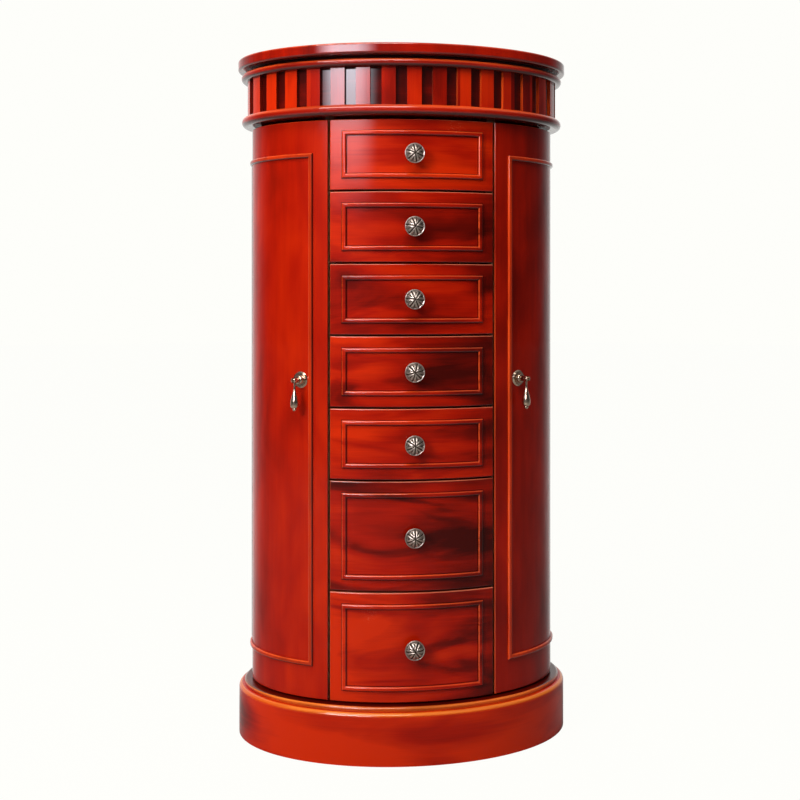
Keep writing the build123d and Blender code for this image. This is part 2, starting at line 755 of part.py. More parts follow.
def drawer_front(bottom, top, knob_level):
    """The curved board with its applied moulding."""
    with BuildPart() as board:
        with BuildSketch(Plane.XY.offset(bottom)):
            Ellipse(body_half_width, body_half_depth)
            Ellipse(
                body_half_width - panel_thickness,
                body_half_depth - panel_thickness,
                mode=Mode.SUBTRACT,
            )
            Rectangle(2 * front_half_width, beyond, align=(Align.CENTER, Align.MAX), mode=Mode.INTERSECT)
        extrude(amount=top - bottom)
        fillet(board.faces().sort_by(Axis.Y)[0].edges(), edge_round)
        with BuildSketch(Plane.XZ):
            with Locations((0, knob_level)):
                Circle(screw_radius)
        extrude(amount=2 * body_half_depth, mode=Mode.SUBTRACT)
    with BuildPart() as moulding:
        with BuildSketch(Plane.XY.offset(bottom + drawer_moulding_inset)):
            Ellipse(body_half_width + moulding_height, body_half_depth + moulding_height)
            Ellipse(body_half_width, body_half_depth, mode=Mode.SUBTRACT)
            half_width = front_half_width - drawer_moulding_inset
            Rectangle(2 * half_width, beyond, align=(Align.CENTER, Align.MAX), mode=Mode.INTERSECT)
        extrude(amount=top - bottom - 2 * drawer_moulding_inset)
        with BuildSketch(Plane.XZ):
            with Locations((0, knob_level)):
                window_inset = drawer_moulding_inset + moulding_width
                Rectangle(2 * (front_half_width - window_inset), top - bottom - 2 * window_inset)
        extrude(amount=2 * body_half_depth, mode=Mode.SUBTRACT)
        fillet(moulding.faces().sort_by(Axis.Y)[0].edges(), moulding_round)
    return together(board.part, moulding.part)


def drawer_box(bottom, top):
    """Two sides, a back and a floor, glued face to face."""
    with BuildPart() as sides:
        with BuildSketch(Plane.XY.offset(bottom)):
            with Locations((box_half_width, box_rear_y)):
                Rectangle(box_wall, 2 * body_half_depth, align=(Align.MAX, Align.MAX))
            with Locations((-box_half_width, box_rear_y)):
                Rectangle(box_wall, 2 * body_half_depth, align=(Align.MIN, Align.MAX))
            Ellipse(
                body_half_width - panel_thickness,
                body_half_depth - panel_thickness,
                mode=Mode.INTERSECT,
            )
        extrude(amount=top - bottom)
    with BuildPart() as back:
        with BuildSketch(Plane.XY.offset(bottom)):
            with Locations((0, box_rear_y)):
                Rectangle(2 * (box_half_width - box_wall), box_wall, align=(Align.CENTER, Align.MAX))
        extrude(amount=top - bottom)
    with BuildPart() as floor:
        extrude(drawer_well(0, bottom + floor_rise), amount=box_floor)
    return together(sides.part, back.part, floor.part)


def drawer_lining(bottom, top, knob_level):
    """A felt-covered insert on the floor and up the four walls, open round the knob's screw."""
    with BuildPart() as lining:
        extrude(drawer_well(0, bottom), amount=top - bottom)
        hollow = drawer_well(lining_thickness, bottom + lining_thickness)
        extrude(hollow, amount=top - bottom, mode=Mode.SUBTRACT)
        with BuildSketch(Plane.XZ):
            with Locations((0, knob_level)):
                Circle(screw_head_radius + screw_head_room)
        extrude(amount=2 * body_half_depth, mode=Mode.SUBTRACT)
    return lining.part


def knob_body_profile():
    Polyline((screw_depth, 0), (0, 0), (0, knob_foot_radius), (knob_foot_height, knob_foot_radius))
    Bezier(
        (knob_foot_height, knob_foot_radius),
        (knob_foot_height, knob_neck_radius),
        (knob_neck_length, knob_neck_radius),
    )
    Bezier(
        (knob_neck_length, knob_neck_radius),
        (knob_neck_length, knob_radius),
        (knob_rim_reach - knob_rim_width, knob_radius),
    )
    Polyline(
        (knob_rim_reach - knob_rim_width, knob_radius),
        (knob_rim_reach, knob_radius),
        (knob_rim_reach, knob_dome_radius),
        (screw_depth, 0),
    )


def knob_dome_profile():
    ball = dome_radius(knob_projection - knob_rim_reach, knob_dome_radius)
    half_turn = math.asin(knob_dome_radius / ball) / 2
    middle = knob_projection - ball
    Line((screw_depth, 0), (knob_rim_reach, knob_dome_radius))
    ThreePointArc(
        (knob_rim_reach, knob_dome_radius),
        (middle + ball * math.cos(half_turn), ball * math.sin(half_turn)),
        (knob_projection, 0),
    )
    Line((knob_projection, 0), (screw_depth, 0))


# Knob: a cast rosette with a grooved dome, and the screw that holds it, drawn at the origin's level
knob_foot = Vector(0, -body_half_depth, 0)
knob_out = Vector(0, -1, 0)
dome_ball = dome_radius(knob_projection - knob_rim_reach, knob_dome_radius)
dome_middle = knob_foot + knob_out * (knob_projection - dome_ball)
with BuildPart() as knob_casting:
    add(turned(knob_foot, knob_out, knob_dome_profile))
    for i in range(knob_groove_count // 2):
        with Locations(Location(dome_middle, (0, 360 * (i + 0.5) / knob_groove_count, 0))):
            Torus(dome_ball, knob_groove_radius, mode=Mode.SUBTRACT)
    add(turned(knob_foot, knob_out, knob_body_profile))
    with BuildSketch(Plane(origin=knob_foot, z_dir=knob_out)):
        Circle(screw_radius)
    extrude(amount=screw_depth, mode=Mode.SUBTRACT)
knob = together(knob_casting.part, screw(knob_foot, knob_out, panel_thickness))

# Drawers: a curved front with its moulding, a box, a felt lining and a knob
for number, (front_bottom, front_top) in enumerate(drawer_levels, 1):
    knob_level = (front_bottom + front_top) / 2
    side_bottom = front_bottom + runner_lift + runner_height + runner_clearance
    side_top = front_top - side_drop
    lining_bottom = side_bottom + floor_rise + box_floor
    pieces = {
        "front": drawer_front(front_bottom, front_top, knob_level),
        "box": drawer_box(side_bottom, side_top),
        "lining": drawer_lining(lining_bottom, side_top - lining_drop, knob_level),
        "knob": knob.moved(Location((0, 0, knob_level))),
    }
    for name, piece in pieces.items():
        piece.label = f"drawer_{number}_{name}"
        export_step(piece, f"parts/drawer_{number}_{name}.step")
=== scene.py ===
import math

import bmesh
import bpy
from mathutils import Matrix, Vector, noise


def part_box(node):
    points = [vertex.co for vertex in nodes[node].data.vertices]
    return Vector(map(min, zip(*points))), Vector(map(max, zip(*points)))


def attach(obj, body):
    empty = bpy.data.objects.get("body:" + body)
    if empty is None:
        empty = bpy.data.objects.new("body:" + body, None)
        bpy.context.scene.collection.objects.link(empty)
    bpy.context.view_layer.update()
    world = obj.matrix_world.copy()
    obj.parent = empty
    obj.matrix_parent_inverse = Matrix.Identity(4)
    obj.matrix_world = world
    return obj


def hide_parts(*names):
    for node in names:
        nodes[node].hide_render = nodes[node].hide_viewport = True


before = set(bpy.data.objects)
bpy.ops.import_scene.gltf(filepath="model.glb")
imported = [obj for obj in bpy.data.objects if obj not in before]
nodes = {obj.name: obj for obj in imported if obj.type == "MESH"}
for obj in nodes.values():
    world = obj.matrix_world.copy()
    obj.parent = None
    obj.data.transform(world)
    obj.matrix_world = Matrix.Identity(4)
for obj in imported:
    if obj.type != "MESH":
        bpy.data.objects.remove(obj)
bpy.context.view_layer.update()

# Plan of the body, in metres, as in the CAD
HALF_WIDTH = 0.227
HALF_DEPTH = 0.144
MEAN_RADIUS = 0.19
DENTIL_PITCH = 0.0353
DRAWERS = range(1, 8)
DRAWER_HALF_WIDTH = 0.116
FRONT_THICKNESS = 0.016
MOULDING_WIDTH = 0.0066
MOULDING_INSET = 0.016

# Lacquer tones, from the darkest figure up. ORANGE and AMBER are painted highlights on roundings turned towards the
# lamps, the pale wood tone after them is wear where fronts are handled, the rim tone is a painted highlight along the
# drawers' top edges and the last, darkest tone is painted shade
DEEP = (0.065, 0.0016, 0.0002, 1)
DARK = (0.19, 0.0036, 0.0002, 1)
MIDDLE = (0.44, 0.0085, 0.0002, 1)
BRIGHT = (0.70, 0.026, 0.0004, 1)
STAIN = ((0.08, DEEP), (0.30, DARK), (0.52, MIDDLE), (0.80, BRIGHT))
ORANGE = (0.88, 0.090, 0.010, 1)
AMBER = (1.0, 0.24, 0.020, 1)
RUBBED_WOOD = (0.72, 0.24, 0.13, 1)
RIM_HIGHLIGHT = (0.80, 0.22, 0.12, 1)
PAINTED_SHADE = (0.035, 0.0015, 0.0008, 1)

# The other finishes
PALE_BOARD = ((0.2, (0.30, 0.15, 0.07, 1)), (0.55, (0.47, 0.27, 0.14, 1)), (0.85, (0.60, 0.39, 0.23, 1)))
FELT = ((0.3, (0.50, 0.41, 0.30, 1)), (0.7, (0.66, 0.57, 0.45, 1)))
FELT_SHADE = (0.36, 0.28, 0.19, 1)
SILVER = ((0.64, 0.54, 0.46, 1), (0.040, 0.024, 0.015, 1))
BRONZE = ((0.60, 0.45, 0.33, 1), (0.08, 0.045, 0.025, 1))
BRASS = ((0.72, 0.52, 0.25, 1), (0.30, 0.19, 0.08, 1))
PLASTIC = ((0.10, 0.05, 0.03, 1), (0.16, 0.08, 0.05, 1))
SILVERED_GLASS = (0.88, 0.90, 0.89, 1)


class Nodes:
    """Short ways to add nodes to a tree. A value is either another node's output or a constant."""

    def __init__(self, tree):
        self.tree = tree

    def put(self, socket, value):
        if isinstance(value, bpy.types.NodeSocket):
            self.tree.links.new(value, socket)
        else:
            socket.default_value = value

    def node(self, kind, values=None, **settings):
        made = self.tree.nodes.new(kind)
        for key, value in settings.items():
            setattr(made, key, value)
        for key, value in (values or {}).items():
            self.put(made.inputs[key], value)
        return made

    def math(self, operation, first, second=0.0, third=0.0, clamp=False):
        values = {0: first, 1: second, 2: third}
        return self.node("ShaderNodeMath", values, operation=operation, use_clamp=clamp).outputs[0]

    def mix(self, factor, first, second):
        return self.node("ShaderNodeMix", {0: factor, 6: first, 7: second}, data_type="RGBA").outputs[2]

    def smooth(self, value, low, high, most=1.0):
        """0 at low and most at high, with a soft start and end. low may be above high."""
        values = {0: value, 1: low, 2: high, 4: most}
        return self.node("ShaderNodeMapRange", values, interpolation_type="SMOOTHSTEP").outputs[0]

    def ramp(self, value, stops):
        made = self.node("ShaderNodeValToRGB", {0: value})
        elements = made.color_ramp.elements
        while len(elements) < len(stops):
            elements.new(0.5)
        for element, (place, colour) in zip(elements, stops):
            element.position = place
            element.color = colour
        return made.outputs[0]

    def combine(self, x, y, z):
        return self.node("ShaderNodeCombineXYZ", {0: x, 1: y, 2: z}).outputs[0]

    def split(self, vector):
        return tuple(self.node("ShaderNodeSeparateXYZ", {0: vector}).outputs)

    def noise(self, vector, scale=1.0, detail=3.0, roughness=0.5, distortion=0.0):
        values = {"Vector": vector, "Scale": scale, "Detail": detail, "Roughness": roughness, "Distortion": distortion}
        return self.node("ShaderNodeTexNoise", values).outputs[0]

    def bump(self, height, strength, distance):
        values = {"Strength": strength, "Distance": distance, "Height": height}
        return self.node("ShaderNodeBump", values).outputs[0]

    def squared_distance(self, x, z, centre, reach):
        """0 at the centre and 1 on the ellipse round it with that reach each way."""
        aside = self.math("DIVIDE", self.math("SUBTRACT", x, centre[0]), reach[0])
        above = self.math("DIVIDE", self.math("SUBTRACT", z, centre[1]), reach[1])
        return self.math("MULTIPLY_ADD", aside, aside, self.math("MULTIPLY", above, above))


class Shader(Nodes):
    """A material and its node tree."""

    def __init__(self, name):
        self.material = bpy.data.materials.new(name)
        self.material.use_nodes = True
        super().__init__(self.material.node_tree)
        self.tree.nodes.clear()

    def place(self):
        """Object coordinates, split: a piece's object sits at the origin, so they are the cabinet's own."""
        return self.split(self.node("ShaderNodeTexCoord").outputs["Object"])

    def surface(self, closure):
        """Makes the closure the material's surface, and gives the material."""
        self.node("ShaderNodeOutputMaterial", {0: closure})
        return self.material

    def principled(self, **values):
        values = {key.replace("_", " "): value for key, value in values.items()}
        return self.surface(self.node("ShaderNodeBsdfPrincipled", values).outputs[0])


def around(shader):
    """Length along the oval from the middle of the front, distance outwards as a share of the body's, and height."""
    x, y, z = shader.place()
    across = shader.math("DIVIDE", x, HALF_WIDTH)
    outward = shader.math("DIVIDE", y, -HALF_DEPTH)
    length = shader.math("MULTIPLY", shader.math("ARCTAN2", across, outward), MEAN_RADIUS)
    square = shader.math("ADD", shader.math("MULTIPLY", across, across), shader.math("MULTIPLY", outward, outward))
    return length, shader.math("SQRT", square), z


def streaks(shader, along, across, depth, seed, figure):
    """Grain as one number round 0.5, from broad clouds, long streaks and fine pores, less the dark figure. Gives it
    with the pores and the long streaks."""
    def spread(a, b, c):
        return shader.combine(
            shader.math("MULTIPLY_ADD", along, a, seed),
            shader.math("MULTIPLY_ADD", across, b, seed * 0.7),
            shader.math("MULTIPLY", depth, c),
        )

    clouds = shader.noise(spread(8, 18, 3), detail=2, roughness=0.45, distortion=0.5)
    long_streaks = shader.noise(spread(4, 95, 4), detail=4, roughness=0.6, distortion=0.8)
    pores = shader.noise(spread(28, 900, 6), detail=2)
    cathedral = shader.noise(spread(6, 21, 3), detail=3, roughness=0.5, distortion=1.1)
    value = 0.55
    for layer, weight in ((clouds, 0.85), (long_streaks, 0.34), (pores, 0.14)):
        value = shader.math("MULTIPLY_ADD", shader.math("SUBTRACT", layer, 0.5), weight, value)
    dark = shader.smooth(shader.math("MULTIPLY_ADD", long_streaks, 0.25, cathedral), 0.54, 0.86)
    return shader.math("MULTIPLY_ADD", dark, -figure, value), pores, long_streaks


def painted_edge_light(shader, colour, chance, tone, highlight_amount, shade_amount, gloss):
    """Mouldings and roundings: a painted highlight, warmer, where they face up and left towards the lamps, painted
    shade on the far side, and a thicker coat on both. Gives the colour and the coat's index."""
    nx, ny, nz = shader.split(shader.node("ShaderNodeTexCoord").outputs["Normal"])
    x, y, _ = shader.place()
    out_x = shader.math("DIVIDE", x, HALF_WIDTH**2)
    out_y = shader.math("DIVIDE", y, HALF_DEPTH**2)
    size = shader.math("SQRT", shader.math("MULTIPLY_ADD", out_x, out_x, shader.math("MULTIPLY", out_y, out_y)))
    leftward = shader.math("SUBTRACT", shader.math("MULTIPLY", nx, out_y), shader.math("MULTIPLY", ny, out_x))
    facing = shader.math("MULTIPLY_ADD", shader.math("DIVIDE", leftward, size), 0.8, nz)
    not_flat_top = shader.smooth(nz, 0.99, 0.93)
    lit_flank = shader.math("MULTIPLY", shader.smooth(facing, 0.10, 0.65), not_flat_top)
    lit_flank = shader.math("MULTIPLY", lit_flank, shader.smooth(chance, 0.22, 0.60))
    # Painted highlight: the edge colour laid on flanks turned up and left, towards the lamps
    colour = shader.mix(shader.math("MULTIPLY", lit_flank, highlight_amount), colour, tone)
    # Painted shade on flanks turned down and right, away from the lamps
    colour = shader.mix(shader.math("MULTIPLY", shader.smooth(facing, -0.12, -0.65), shade_amount), colour, PAINTED_SHADE)
    bent = shader.math("MULTIPLY", shader.smooth(shader.math("ABSOLUTE", facing), 0.06, 0.35), not_flat_top)
    return colour, shader.math("MULTIPLY_ADD", bent, 0.30, gloss)


def rubbed_corner(shader, colour, corner_x, corner_z, reach):
    """Faint flecks where a front has been handled."""
    x, y, z = shader.place()
    far = shader.squared_distance(x, z, (corner_x, corner_z), (reach, reach))
    flecks = shader.noise(shader.combine(x, y, shader.math("MULTIPLY", z, 2.5)), scale=260, detail=4, roughness=0.7,
                          distortion=0.8)
    patch = shader.math("MULTIPLY", shader.smooth(far, 1.0, 0.1), shader.smooth(flecks, 0.56, 0.68))
    return shader.mix(shader.math("MULTIPLY", patch, 0.45), colour, RUBBED_WOOD)


def moulding_lines(shader, colour, depth, chance, middle, half_height):
    """Painted shade in the corners on both sides of a drawer's moulding, and a painted highlight along the upper edge
    of its front.
    """
    x, _, z = shader.place()
    level = shader.math("SUBTRACT", z, middle)
    beside = shader.math("SUBTRACT", shader.math("ABSOLUTE", x), DRAWER_HALF_WIDTH - MOULDING_INSET)
    over = shader.math("SUBTRACT", shader.math("ABSOLUTE", level), half_height - MOULDING_INSET)
    edge = shader.math("MAXIMUM", beside, over)
    outer = shader.smooth(shader.math("ABSOLUTE", shader.math("SUBTRACT", edge, 0.0003)), 0.0010, 0.0002)
    inner = shader.smooth(shader.math("ABSOLUTE", shader.math("ADD", edge, MOULDING_WIDTH + 0.0003)), 0.0012, 0.0003)
    on_front = shader.smooth(depth, 1.012, 1.004)
    lines = shader.math("MULTIPLY", shader.math("MAXIMUM", outer, inner), on_front)
    # Painted shade: dark lines in the corners beside the moulding
    colour = shader.mix(shader.math("MULTIPLY", lines, 0.7), colour, PAINTED_SHADE)
    # Painted highlight along the front's top edge
    rim = shader.smooth(shader.math("SUBTRACT", half_height, level), 0.0016, 0.0006)
    rim = shader.math("MULTIPLY", rim, shader.smooth(chance, 0.30, 0.55))
    return shader.mix(shader.math("MULTIPLY", rim, 0.6), colour, RIM_HIGHLIGHT)


def lacquered(name, upright=False, seed=0.0, figure=0.12, tone=0.0, flat=False, blocks=0.0, moulding=None, worn=None,
              patches=(), lean=0.0, contrast=1.0, edge_tone=ORANGE, highlight_amount=0.8, shade_amount=0.6, gloss=1.23):
    """High-gloss lacquer over stained wood, its grain upright or along the oval.
    flat lays the grain across a flat board, and blocks gives each length of the oval a tone of its own.
    moulding is a drawer's (middle, half height), for the painted shade round its moulding and the painted highlight on
    its top edge, and worn a handled corner (x, height, reach).
    patches are clouds in the stain (place along the oval, height, reach each way, how much paler).
    tone lightens all, lean darkens towards the right and contrast is the figure's strength."""
    shader = Shader(name)
    if flat:
        length, height, depth = shader.place()
    else:
        length, depth, height = around(shader)
    along, across = (height, length) if upright else (length, height)
    value, pores, long_streaks = streaks(shader, along, across, depth, seed, figure)
    if blocks:
        index = shader.math("FLOOR", shader.math("DIVIDE", shader.math("ADD", length, blocks / 2), blocks))
        chance = shader.node("ShaderNodeTexWhiteNoise", {"W": index}, noise_dimensions="1D").outputs[0]
        value = shader.math("MULTIPLY_ADD", shader.math("SUBTRACT", chance, 0.5), 0.55, value)
    value = shader.math("MULTIPLY_ADD", shader.math("SUBTRACT", value, 0.5), contrast, 0.5 + tone)
    if lean:
        aside = shader.math("MINIMUM", shader.math("MAXIMUM", length, -0.2), 0.2)
        value = shader.math("MULTIPLY_ADD", aside, -lean, value)
    for place, level, reach, reach_up, paler in patches:
        far = shader.squared_distance(length, height, (place, level), (reach, reach_up))
        near = shader.smooth(shader.math("MULTIPLY_ADD", long_streaks, 0.8, far), 1.5, 0.3)
        value = shader.math("MULTIPLY_ADD", near, paler, value)
    colour = shader.ramp(value, STAIN)
    # Painted highlight on roundings turned towards the lamps and painted shade on those turned away
    colour, coat = painted_edge_light(shader, colour, long_streaks, edge_tone, highlight_amount, shade_amount, gloss)
    if worn:
        colour = rubbed_corner(shader, colour, *worn)
    if moulding:
        # Painted shade beside the drawer's moulding and a painted highlight on its top edge
        colour = moulding_lines(shader, colour, depth, long_streaks, *moulding)
    ripple = shader.noise(shader.combine(length, depth, height), scale=26, detail=1)
    return shader.principled(
        Base_Color=colour, Roughness=shader.math("MULTIPLY_ADD", pores, 0.12, 0.34), Specular_IOR_Level=0.03,
        Normal=shader.bump(pores, 0.06, 0.0004), Coat_Weight=1.0, Coat_Roughness=0.03, Coat_IOR=coat,
        Coat_Normal=shader.bump(ripple, 0.10, 0.0012))


def rounded_lacquer(name, seed, low, high, upright=False, tone=0.0, edge_tone=ORANGE):
    """Lacquer of an applied moulding: painted shade in the corner at low, and paler along the crest at high, there
    partly worn lacquer and partly a painted highlight; both measured outwards as in around()."""
    shader = Shader(name)
    length, depth, height = around(shader)
    along, across = (height, length) if upright else (length, height)
    value, _, long_streaks = streaks(shader, along, across, depth, seed, 0.08)
    colour = shader.ramp(shader.math("ADD", value, tone), STAIN)
    # Paler along the crest: partly worn lacquer, partly a painted highlight
    crest = shader.math("MULTIPLY", shader.smooth(depth, low, high), 0.25)
    colour = shader.mix(crest, colour, edge_tone)
    # Painted highlight on flanks turned towards the lamps, painted shade on those turned away
    colour, coat = painted_edge_light(shader, colour, long_streaks, edge_tone, 0.9, 0.8, 1.25)
    # Painted shade in the corner where the moulding meets the panel
    corner = shader.smooth(depth, low, low - 0.006)
    colour = shader.mix(shader.math("MULTIPLY", corner, 0.85), colour, PAINTED_SHADE)
    return shader.principled(Base_Color=colour, Roughness=0.36, Specular_IOR_Level=0.03,
                             Coat_Weight=1.0, Coat_Roughness=0.035, Coat_IOR=coat)


def pale_wood(name, seed, upright=False):
    shader = Shader(name)
    x, y, z = shader.place()
    along, across = (z, y) if upright else (y, z)
    value, pores, _ = streaks(shader, along, across, x, seed, 0.1)
    return shader.principled(Base_Color=shader.ramp(value, PALE_BOARD), Normal=shader.bump(pores, 0.15, 0.0004),
                             Roughness=shader.math("MULTIPLY_ADD", pores, 0.2, 0.38))


def felt(name, seed):
    shader = Shader(name)
    x, y, z = shader.place()
    vector = shader.combine(shader.math("ADD", x, seed), y, z)
    fibres = shader.noise(vector, scale=1900, detail=3, roughness=0.7)
    colour = shader.ramp(shader.noise(vector, scale=38, detail=3), FELT)
    colour = shader.mix(shader.math("MULTIPLY", fibres, 0.35), colour, FELT_SHADE)
    return shader.principled(Base_Color=colour, Roughness=0.95, Normal=shader.bump(fibres, 0.5, 0.0006),
                             Sheen_Weight=0.5, Sheen_Roughness=0.5, Specular_IOR_Level=0.1)


def metal(name, colours, roughness, scale=420, cavity=False):
    """Cast metal, bright where it stands out and browned by tarnish and, with cavity, in the mesh's hollows."""
    shader = Shader(name)
    tarnish = shader.noise(shader.combine(*shader.place()), scale=scale, detail=4, roughness=0.6)
    amount = shader.math("MULTIPLY", shader.smooth(tarnish, 0.42, 0.75), 0.55)
    if cavity:
        hollow = shader.node("ShaderNodeAttribute", attribute_name="hollow").outputs["Fac"]
        amount = shader.math("MAXIMUM", amount, hollow)
    return shader.principled(Base_Color=shader.mix(amount, *colours), Metallic=1.0,
                             Roughness=shader.math("MULTIPLY_ADD", amount, 0.3, roughness),
                             Normal=shader.bump(tarnish, 0.12, 0.0003))


def plastic(name):
    shader = Shader(name)
    grain = shader.noise(shader.combine(*shader.place()), scale=900, detail=2)
    return shader.principled(Base_Color=shader.mix(grain, *PLASTIC), Roughness=0.45,
                             Normal=shader.bump(grain, 0.2, 0.0002))


def mirror_glass(name):
    shader = Shader(name)
    haze = shader.noise(shader.combine(*shader.place()), scale=14, detail=4)
    return shader.principled(Base_Color=SILVERED_GLASS, Metallic=1.0,
                             Roughness=shader.math("MULTIPLY", shader.smooth(haze, 0.55, 0.9), 0.05))


def dress(node, material):
    """A carried-over CAD node takes a finished material in each of its slots."""
    mesh = nodes[node].data
    if not mesh.materials:
        mesh.materials.append(material)
    for index in range(len(mesh.materials)):
        mesh.materials[index] = material


def new_piece(name, bm, material, body):
    mesh = bpy.data.meshes.new(name)
    bm.to_mesh(mesh)
    bm.free()
    mesh.materials.append(material)
    for polygon in mesh.polygons:
        polygon.use_smooth = True
    piece = bpy.data.objects.new(name, mesh)
    bpy.context.scene.collection.objects.link(piece)
    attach(piece, body)
    return piece


# Lacquered parts of the case and the lid
PLINTH_PATCHES = ((-0.09, 0.014, 0.12, 0.030, 0.26), (-0.24, 0.035, 0.05, 0.050, -0.20),
                  (0.03, 0.045, 0.07, 0.022, -0.16), (0.10, 0.012, 0.09, 0.020, 0.14))
# The plinth's roundings take an amber painted highlight where they face up and left
dress("plinth_skirt", lacquered("plinth_lacquer", seed=11.0, figure=0.16, tone=0.17, edge_tone=AMBER, highlight_amount=0.9,
                                patches=PLINTH_PATCHES))
# The base board's rounding: amber painted highlight along its crest and painted shade in its corner
dress("base_board", rounded_lacquer("base_lacquer", 12.5, 1.050, 1.062, tone=0.05, edge_tone=AMBER))
dress("back_shell", lacquered("back_lacquer", upright=True, seed=17.0, figure=0.10, contrast=0.5))
dress("top_board", lacquered("top_board_lacquer", seed=19.0))
# The beads: painted highlight on their upper flanks, painted shade on their lower ones
for bead, seed, tone in (("lower", 21.0, -0.06), ("upper", 23.0, -0.04)):
    dress(f"{bead}_cornice_bead", lacquered(f"{bead}_bead_lacquer", seed=seed, figure=0.05, tone=tone, shade_amount=0.9,
                                            highlight_amount=0.9, gloss=1.30))
# The frieze band between the dentils is darkened as painted shade, under the upper bead
dress("frieze_band", lacquered("frieze_lacquer", seed=25.0, figure=0.20, tone=-0.48, gloss=1.36))
# The dentils: painted highlight on sides turned left, painted shade on sides turned right
dress("dentil_blocks", lacquered("dentil_lacquer", upright=True, seed=27.0, figure=0.06, tone=0.10,
                                 blocks=DENTIL_PITCH, lean=1.0, contrast=0.8, shade_amount=0.8, gloss=1.32))
dress("lid_board", lacquered("lid_lacquer", seed=29.0, figure=0.10, tone=-0.08, flat=True, gloss=1.32))

# Inner parts and hardware
upright_wood = pale_wood("partition_wood", 5.7, upright=True)
inner_wood = pale_wood("inner_wood", 3.1)
brass = metal("hinge_brass", BRASS, 0.24)
for node, material in {
    "left_partition": upright_wood,
    "right_partition": upright_wood,
    "drawer_runners": inner_wood,
    "tray_dividers": inner_wood,
    "tray_lining": felt("tray_felt", 1.9),
    "lid_mirror": mirror_glass("silvered_glass"),
    "magnetic_catches": plastic("catch_plastic"),
    "hinge_case_leaves": brass,
    "hinge_pins": brass,
    "lid_hinge_leaves": brass,
    "left_door_hinge_leaves": brass,
    "right_door_hinge_leaves": brass,
    "necklace_racks": brass,
}.items():
    dress(node, material)

# Side doors
bronze = metal("antique_bronze", BRONZE, 0.14, scale=240)
# The left door's paler tone and the right door's darker tone are painted light and painted shade, the left door being
# the one towards the lamps
for side, seed, tone, lean in (("left", 31.0, 0.28, -1.5), ("right", 37.0, -0.08, 0.0)):
    dress(f"{side}_door_panel", lacquered(f"{side}_door_lacquer", upright=True, seed=seed, figure=0.10, contrast=0.55,
                                          tone=tone, lean=lean))
    # Door mouldings: painted shade in their corners and a painted highlight along their crests
    dress(f"{side}_door_moulding", rounded_lacquer(f"{side}_moulding_lacquer", seed + 2, 1.003, 1.016, upright=True))
    dress(f"{side}_pull_mount", bronze)
    dress(f"{side}_pull_drop", bronze)

# Drawers. A patch's height is measured from the middle of its drawer
FIGURES = (0.14, 0.24, 0.24, 0.34, 0.24, 0.36, 0.34)
TONES = (0.16, -0.03, -0.02, -0.04, 0.0, -0.12, 0.10)
LEANS = (0.5, 1.6, 0.3, 3.0, 0.8, 1.0, 2.8)
WORN = {1: (0.060, 0.886, 0.016), 7: (-0.062, 0.205, 0.014)}
PATCHES = {
    1: ((-0.030, -0.004, 0.055, 0.018, -0.24), (0.065, 0.006, 0.035, 0.014, -0.12),
        (0.010, -0.024, 0.080, 0.012, 0.16)),
    2: ((-0.035, -0.004, 0.050, 0.014, 0.14), (0.060, 0.004, 0.050, 0.026, -0.12)),
    3: ((0.010, -0.004, 0.060, 0.016, -0.18), (-0.050, -0.022, 0.045, 0.014, 0.14)),
    4: ((0.045, -0.006, 0.060, 0.026, -0.18), (-0.050, 0.002, 0.045, 0.016, 0.14)),
    5: ((0.0, 0.012, 0.060, 0.014, -0.20), (0.060, -0.010, 0.040, 0.016, 0.14),
        (-0.055, -0.014, 0.045, 0.014, 0.10)),
    6: ((-0.040, 0.006, 0.060, 0.028, 0.16), (0.055, -0.016, 0.055, 0.034, -0.14)),
    7: ((0.045, 0.024, 0.060, 0.020, -0.18), (-0.050, 0.016, 0.045, 0.032, 0.14),
        (0.055, -0.010, 0.040, 0.014, 0.12)),
}
drawer_wood = pale_wood("drawer_wood", 9.4)
lining_felt = felt("lining_felt", 0.3)
for number, figure, tone, lean in zip(DRAWERS, FIGURES, TONES, LEANS):
    low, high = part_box(f"drawer_{number}_front")
    middle = (low.z + high.z) / 2
    dress(f"drawer_{number}_front", lacquered(
        f"drawer_{number}_lacquer", seed=41.0 + 3.3 * number, figure=figure, tone=tone, lean=lean,
        moulding=(middle, (high.z - low.z) / 2), worn=WORN.get(number),
        patches=[(place, middle + above, *rest) for place, above, *rest in PATCHES[number]]))
    dress(f"drawer_{number}_box", drawer_wood)
    dress(f"drawer_{number}_lining", lining_felt)


# Knobs: a cast rosette on a turned body. A reach is measured outwards from the drawer's face
DOME_RADIUS = 0.0126
RIM_REACH = 0.0144
PROJECTION = 0.021
TURNED_BODY = ((0.0130, 0.01470), (0.0136, 0.01455), (0.0140, 0.0139), (0.0140, 0.0128), (0.0137, 0.0121),
               (0.0128, 0.0110), (0.0108, 0.0099), (0.0085, 0.0091), (0.0064, 0.0083), (0.0051, 0.0070),
               (0.0046, 0.0055), (0.0047, 0.0040), (0.0054, 0.0026), (0.0066, 0.0018), (0.0070, 0.0012),
               (0.0070, 0.0), (0.0021, 0.0))
UNDERSIDE_REACH = 0.0118
GROOVE_DEPTH = 0.00115
CAST_GRAIN = 0.00012
HUB_DEPTH = 0.0009
PETALS = 6
DOME_RINGS = 44
KNOB_SEGMENTS = 144

# Its screw, with a slotted round head behind the front. Here a reach is measured from the middle of the cabinet
SEAT = HALF_DEPTH - FRONT_THICKNESS - 0.00005
HEAD_TOP = SEAT - 0.0024
SCREW = ((0.0016, HEAD_TOP), (0.0034, SEAT - 0.0019), (0.0042, SEAT - 0.0008), (0.0042, SEAT), (0.0020, SEAT),
         (0.0020, HALF_DEPTH + 0.001))
SLOT_HALF_WIDTH = 0.0006
SLOT_DEPTH = 0.0007
SLOT_REACH = SEAT - 0.0010
SCREW_SEGMENTS = 40


